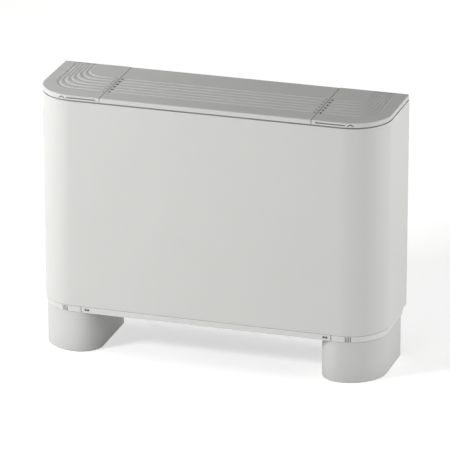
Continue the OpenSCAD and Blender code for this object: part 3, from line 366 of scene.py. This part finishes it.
def soften(node, width, look):
    weld = node.modifiers.new("weld", "WELD")
    weld.merge_threshold = look["join"]
    bevel = node.modifiers.new("edges", "BEVEL")
    bevel.width = width
    bevel.segments = look["segments"]
    bevel.limit_method = "ANGLE"
    bevel.angle_limit = look["sharperThan"]
    bevel.use_clamp_overlap = True
    even = node.modifiers.new("even", "WEIGHTED_NORMAL")
    even.keep_sharp = False


for nodeName, width in softEdges.items():
    soften(nodes[nodeName], width, edgeRounding)
print("edges softened:", len(softEdges))


# A new mesh piece, riding on a body with a finish of the record
def makePiece(name, shell, slotName, body, replaced=()):
    mesh = bpy.data.meshes.new(name)
    bmesh.ops.recalc_face_normals(shell, faces=shell.faces)
    shell.to_mesh(mesh)
    shell.free()
    mesh.materials.append(finishes[slotName])
    piece = bpy.data.objects.new(name, mesh)
    bpy.context.scene.collection.objects.link(piece)
    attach(piece, body)
    if replaced:
        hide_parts(*replaced)
    return piece


# Side faces between two rings of corners
def bridge(shell, before, after):
    for k in range(len(before)):
        following = (k + 1) % len(before)
        shell.faces.new((before[k], before[following], after[following], after[k]))


# A raised bar drawn on a surface: place turns along, up and height into a point
def drawBar(shell, place, start, end, width, height, steps=1):
    start, end = Vector(start), Vector(end)
    side = Vector((start.y - end.y, end.x - start.x)).normalized() * width / 2
    rings = []
    for step in range(steps + 1):
        middle = start.lerp(end, step / steps)
        low, high = middle - side, middle + side
        corners = [(low, -height), (high, -height), (high, height), (low, height)]
        rings.append([shell.verts.new(place(spot.x, spot.y, rise)) for spot, rise in corners])
    for before, after in zip(rings, rings[1:]):
        bridge(shell, before, after)
    shell.faces.new(rings[0])
    shell.faces.new(rings[-1])


# Chevron beside each finger slot, on the round corner of the lip
lipChevron = {
    "corner": (290 * mm, -24 * mm),
    "radius": 85 * mm,
    "from": math.radians(8.8),
    "to": math.radians(17.6),
    "low": 562.4 * mm,
    "high": 566.2 * mm,
    "stroke": 1.9 * mm,
    "height": 0.12 * mm,
    "steps": 4,
}


def makeLipChevron(name, sign, body, look):
    def place(along, up, rise):
        turn = along / look["radius"]
        reach = look["radius"] + rise
        x = look["corner"][0] + reach * math.sin(turn)
        return sign * x, look["corner"][1] - reach * math.cos(turn), up

    shell = bmesh.new()
    first, last = look["from"] * look["radius"], look["to"] * look["radius"]
    peak = ((first + last) / 2, look["high"])
    for foot in (first, last):
        drawBar(shell, place, (foot, look["low"]), peak, look["stroke"], look["height"], look["steps"])
    makePiece(name, shell, "knob_plastic", body)


makeLipChevron("lip_chevron_left", -1, "left_lid", lipChevron)
makeLipChevron("lip_chevron_right", 1, "right_lid", lipChevron)

# Pair of bars near each end of the tray's strip, whose face leans back below
pullMark = {
    "x": 259.5 * mm,
    "apart": 5.6 * mm,
    "bar": 4.6 * mm,
    "low": 95.2 * mm,
    "high": 100.2 * mm,
    "height": 0.12 * mm,
    "lean": 3.2 * mm,
}


def makePullMark(name, sign, look):
    low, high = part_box("filter_strip")
    top, bottom = Vector((0, low[1], high[2])), Vector((0, low[1] + look["lean"], low[2]))
    slope = (top - bottom) / (top.z - bottom.z)
    out = Vector((0, -slope.z, slope.y)).normalized()

    def place(along, up, rise):
        spot = bottom + slope * (up - bottom.z) + out * rise
        return along, spot.y, spot.z

    shell = bmesh.new()
    for side in (-0.5, 0.5):
        x = sign * (look["x"] + side * look["apart"])
        drawBar(shell, place, (x, look["low"]), (x, look["high"]), look["bar"], look["height"])
    makePiece(name, shell, "knob_plastic", "filter_tray")


makePullMark("pull_mark_left", -1, pullMark)
makePullMark("pull_mark_right", 1, pullMark)

# Scales printed round the two knobs, and a pale line in each knob's grip
dials = {
    "temperature": {"at": (302.3 * mm, -36 * mm), "sweep": 135, "ticks": 11},
    "speed": {"at": (302.3 * mm, 20 * mm), "sweep": 60, "ticks": 5},
}
dialTick = {"from": 17.4 * mm, "to": 22.6 * mm, "width": 1.7 * mm, "at": 545 * mm, "height": 0.1 * mm}
gripLine = {"from": 5.6 * mm, "to": 13.4 * mm, "width": 1.2 * mm, "at": 555.2 * mm, "height": 0.2 * mm}


# A bar on the dial that points away from its middle
def drawRay(shell, dial, turn, look):
    def place(along, up, rise):
        return dial["at"][0] + along, dial["at"][1] + up, look["at"] + rise

    ray = Vector((math.sin(turn), math.cos(turn)))
    drawBar(shell, place, ray * look["from"], ray * look["to"], look["width"], look["height"])


def makeDial(name, dial):
    scale = bmesh.new()
    for tick in range(dial["ticks"]):
        turn = math.radians(dial["sweep"] * (2 * tick / (dial["ticks"] - 1) - 1))
        drawRay(scale, dial, turn, dialTick)
    makePiece(name + "_scale", scale, "knob_plastic", "cabinet")
    line = bmesh.new()
    drawRay(line, dial, 0, gripLine)
    makePiece(name + "_line", line, "head_plastic", name + "_control")


for dialName, dial in dials.items():
    makeDial(dialName, dial)
print("marks and scales drawn")

# Pan-head screws with a cross recess, in place of the plain ones
screwHead = {
    "radius": 3.6 * mm,
    "height": 1.6 * mm,
    "shank": 2.0 * mm,
    "arm": 2.1 * mm,
    "blade": 0.45 * mm,
    "sunk": 0.9 * mm,
    "taper": 0.8,
    "turnsBetween": (0.45, 0.62, math.pi / 4, 0.95, 1.12),
    "rim": [(0.72, 1.0), (0.90, 0.90), (0.98, 0.66), (1.0, 0.38), (1.0, 0.0)],
}
screwSets = {
    "head_screws": {
        "spots": [(270, -99.7, 559.4), (-270, -99.7, 559.4), (365.7, 6, 559.4), (-365.7, 6, 559.4)],
        "facing": (0, 0, 1),
        "length": 5 * mm,
    },
    "cover_screws": {
        "spots": [(314.6, 0, 340), (314.6, 0, 450)],
        "facing": (1, 0, 0),
        "length": 5 * mm,
    },
    "foot_screws": {
        "spots": [(286, -63.5, 87), (-286, -63.5, 87), (286, 47, 87), (-286, 47, 87)],
        "facing": (0, 0, -1),
        "length": 24.8 * mm,
    },
}


# How far the cross reaches from the middle at a turn
def crossReach(turn, look):
    off = (turn + math.pi / 4) % (math.pi / 2) - math.pi / 4
    edge = abs(math.sin(off)) * look["arm"] / math.cos(off)
    if edge <= look["blade"] + 1e-9:
        return look["arm"] / math.cos(off)
    return look["blade"] / abs(math.sin(off))


def drawScrew(shell, spot, facing, length, look):
    out = Vector(facing)
    across = out.orthogonal().normalized()
    beside = out.cross(across)
    corner = math.atan2(look["blade"], look["arm"])
    steps = (-corner, -corner / 2, 0, corner / 2, corner, *look["turnsBetween"])
    turns = [quarter * math.pi / 2 + step for quarter in range(4) for step in steps]
    full, tall = look["radius"], look["height"]
    loops = [[(crossReach(turn, look) * look["taper"], tall - look["sunk"]) for turn in turns]]
    loops.append([(crossReach(turn, look), tall) for turn in turns])
    loops += [[(full * wide, tall * high)] * len(turns) for wide, high in look["rim"]]
    loops += [[(look["shank"], 0)] * len(turns), [(look["shank"], -length)] * len(turns)]
    rings = []
    for loop in loops:
        ring = []
        for turn, (reach, rise) in zip(turns, loop):
            ray = across * math.cos(turn) + beside * math.sin(turn)
            ring.append(shell.verts.new(Vector(spot) * mm + ray * reach + out * rise))
        rings.append(ring)
    for before, after in zip(rings, rings[1:]):
        bridge(shell, before, after)
    shell.faces.new(rings[0])
    shell.faces.new(rings[-1])


for nodeName, screws in screwSets.items():
    shell = bmesh.new()
    for spot in screws["spots"]:
        drawScrew(shell, spot, screws["facing"], screws["length"], screwHead)
    makePiece("cross_" + nodeName, shell, "bright_steel", "cabinet", [nodeName])
print("screws drawn:", sum(len(screws["spots"]) for screws in screwSets.values()))

# Close-set thin fins in place of the coil's coarse ones
finPack = {
    "pitch": 2.1 * mm,
    "thickness": 0.25 * mm,
    "height": 224 * mm,
    "depth": 44 * mm,
    "lean": math.radians(40),
}


def makeFinPack(look):
    low, high = (Vector(corner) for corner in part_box("coil_fins"))
    centre = (low + high) / 2
    up = Vector((0, math.sin(look["lean"]), math.cos(look["lean"])))
    out = Vector((0, math.cos(look["lean"]), -math.sin(look["lean"])))
    count = int((high.x - low.x - look["thickness"]) / look["pitch"])
    start = centre.x - count * look["pitch"] / 2
    shell = bmesh.new()
    for k in range(count + 1):
        rings = []
        for side in (-0.5, 0.5):
            x = start + k * look["pitch"] + side * look["thickness"]
            ring = []
            for a, b in ((-0.5, -0.5), (0.5, -0.5), (0.5, 0.5), (-0.5, 0.5)):
                spot = centre + up * a * look["height"] + out * b * look["depth"]
                ring.append(shell.verts.new((x, spot.y, spot.z)))
            rings.append(ring)
            shell.faces.new(ring)
        bridge(shell, *rings)
    makePiece("coil_fin_pack", shell, "fin_aluminium", "cabinet", ["coil_fins"])


makeFinPack(finPack)

# Open honeycomb net in place of the filter's plain sheet
filterNet = {"cell": 6 * mm, "wall": 1.1 * mm, "join": 0.05 * mm}


def makeFilterNet(look):
    low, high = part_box("filter_mat")
    level = (low[2] + high[2]) / 2
    radius = look["cell"] / math.sqrt(3)
    rowStep = 1.5 * radius
    turns = [math.radians(30 + 60 * k) for k in range(6)]
    shell = bmesh.new()
    rows = int((high[1] - low[1] - 2 * radius) / rowStep)
    columns = int((high[0] - low[0] - 1.5 * look["cell"]) / look["cell"])
    firstRow = (high[1] + low[1]) / 2 - rows * rowStep / 2
    for row in range(rows + 1):
        for column in range(columns + 1):
            x = (column - columns / 2 + (0.25 if row % 2 else -0.25)) * look["cell"]
            y = firstRow + row * rowStep
            corners = [(x + radius * math.cos(turn), y + radius * math.sin(turn), level) for turn in turns]
            shell.faces.new([shell.verts.new(corner) for corner in corners])
    bmesh.ops.remove_doubles(shell, verts=shell.verts, dist=look["join"])
    net = makePiece("filter_net", shell, "filter_fabric", "filter_tray", ["filter_mat"])
    strands = net.modifiers.new("strands", "WIREFRAME")
    strands.thickness = look["wall"]
    strands.use_even_offset = False


makeFilterNet(filterNet)
print("coil fins and filter net made")


# Camera at the photograph's angle, far off with a long lens
viewpoint = {
    "azimuth": math.radians(17.32),
    "elevation": math.radians(20.325),
    "distance": 9.413,
    "lens": 361.05,
    "sensor": 36,
    "farEnd": 200,
    "aim": Vector((0, 0, 0.285)),
    "aside": 9.76 * mm,
    "above": -5.96 * mm,
}


def placeCamera(view):
    across, lift = view["azimuth"], view["elevation"]
    back = Vector((math.sin(across) * math.cos(lift), -math.cos(across) * math.cos(lift), math.sin(lift)))
    right = Vector((math.cos(across), math.sin(across), 0))
    up = back.cross(right)
    target = view["aim"] + right * view["aside"] + up * view["above"]
    lensData = bpy.data.cameras.new("photoView")
    lensData.lens = view["lens"]
    lensData.sensor_width = view["sensor"]
    lensData.clip_end = view["farEnd"]
    camera = bpy.data.objects.new("photoView", lensData)
    camera.location = target + back * view["distance"]
    camera.rotation_euler = back.to_track_quat("Z", "Y").to_euler()
    bpy.context.scene.collection.objects.link(camera)
    bpy.context.scene.camera = camera


placeCamera(viewpoint)

# Soft studio light: key from the front left, two small ones by the left lid, fill from right, top and rear
studioLights = {
    "overCorner": {"at": (-2.7, -2.4, 2.2), "width": 1.0, "height": 0.6, "power": 89},
    "overLid": {"at": (-1.0, 0.2, 1.3), "width": 0.5, "height": 0.4, "power": 3},
    "leftEnd": {"at": (-1.5, -0.25, 0.95), "width": 0.5, "height": 0.4, "power": 2.5},
    "sideRight": {"at": (3.6, 0.2, 1.4), "width": 1.6, "height": 1.0, "power": 45},
    "topSoft": {"at": (-0.6, 0.4, 4.0), "width": 3.0, "height": 3.0, "power": 10},
    "rearSoft": {"at": (0.8, 4.0, 1.2), "width": 2.6, "height": 1.4, "power": 16},
}
lightAim = Vector((0, 0, 0.3))


def placeLight(name, look):
    lamp = bpy.data.lights.new(name, "AREA")
    lamp.shape = "RECTANGLE"
    lamp.size = look["width"]
    lamp.size_y = look["height"]
    lamp.energy = look["power"]
    holder = bpy.data.objects.new(name, lamp)
    holder.location = look["at"]
    holder.visible_camera = False
    away = Vector(look["at"]) - lightAim
    holder.rotation_euler = away.to_track_quat("Z", "Y").to_euler()
    bpy.context.scene.collection.objects.link(holder)


surroundings = {"tint": (1.0, 1.0, 0.995), "strength": 0.09}


def lightWorld(look):
    world = bpy.data.worlds.new("studio")
    world.use_nodes = True
    ground = world.node_tree.nodes["Background"]
    ground.inputs["Color"].default_value = (*look["tint"], 1)
    ground.inputs["Strength"].default_value = look["strength"]
    bpy.context.scene.world = world


# Pale floor with a painted glow, which grows lighter away from the unit
paleFloor = {
    "half": 40.0,
    "tint": (0.86, 0.86, 0.855),
    "roughness": 0.85,
    "shine": 0.2,
    "cloud": 0.6,
    "darkest": 0.985,
    "lightest": 1.015,
    "glow": 0.69,
    "near": (0.82, 0.82, 0.816),
    "far": (1.0, 1.0, 0.995),
    "from": 0.9,
    "to": 2.2,
}


def layFloor(look):
    constants = {"roughness": look["roughness"], "specular": look["shine"], "glowStrength": look["glow"]}
    finish = Finish("paleFloor", **constants)
    reach = finish.add("ShaderNodeVectorMath", {"operation": "LENGTH"}, {0: finish.place}, "Value")
    finish.wire("glow", finish.blend(finish.ramp(reach, look["from"], look["to"]), look["near"], look["far"]))
    dark, light = shade(look["tint"], look["darkest"]), shade(look["tint"], look["lightest"])
    finish.wire("colour", finish.blend(finish.noise(look["cloud"], 2), dark, light))
    half = look["half"]
    corners = [(-half, -half, 0), (half, -half, 0), (half, half, 0), (-half, half, 0)]
    mesh = bpy.data.meshes.new("floor")
    mesh.from_pydata(corners, [], [(0, 1, 2, 3)])
    mesh.materials.append(finish.material)
    floor = bpy.data.objects.new("floor", mesh)
    bpy.context.scene.collection.objects.link(floor)


for lightName, look in studioLights.items():
    placeLight(lightName, look)
lightWorld(surroundings)
layFloor(paleFloor)
bpy.context.scene.view_settings.view_transform = "Standard"
print("studio set")
